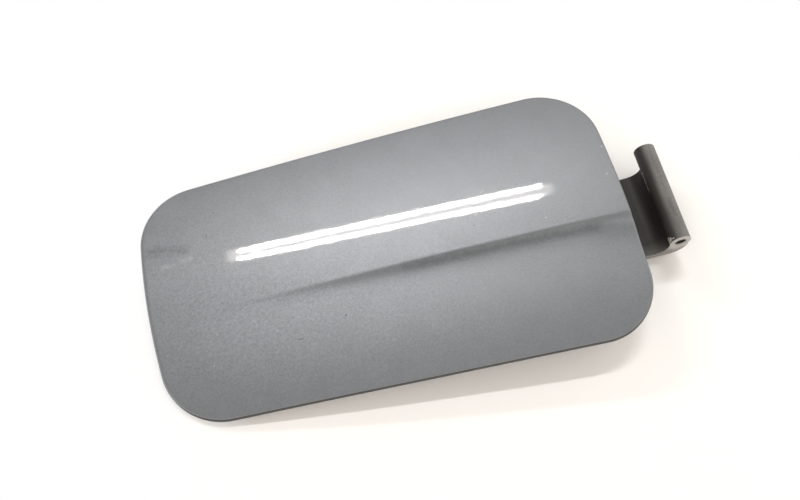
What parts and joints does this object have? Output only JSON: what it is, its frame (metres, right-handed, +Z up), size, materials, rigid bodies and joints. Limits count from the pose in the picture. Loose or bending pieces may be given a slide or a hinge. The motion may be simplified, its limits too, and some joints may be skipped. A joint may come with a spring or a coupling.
{
  "type": "car fuel door",
  "caption": "Crowned steel fuel door with rounded corners, a fading feature line and a hemmed rim, on a moulded swan-neck hinge arm with a barrel for the hinge pin.",
  "frame": {"origin": "middle of the hinge bore, on its axis", "axes": "+Y along the hinge axis, +X from the free end towards the hinge, +Z up from the table that the door lies on, outer face up"},
  "size_m": [0.235, 0.1216, 0.0201],
  "materials": {
    "metallic_paint": "grey metallic base coat under clear coat",
    "painted_inner_sheet": "thin grey coat on pressed steel",
    "black_nylon": "moulded black, glass filled, lightly worn",
    "zinc_screw": "zinc plated",
    "zinc_nut": "zinc plated",
    "buffer_rubber": "matt black",
    "mastic": "dull expanded mastic"
  },
  "bodies": {
    "root": {"outer_panel": "metallic_paint", "inner_panel": "painted_inner_sheet", "hinge_arm": "black_nylon", "hinge_screws": "zinc_screw", "weld_nuts": "zinc_nut", "bump_stops": "buffer_rubber", "mastic_dabs": "mastic"}
  },
  "joints": []
}
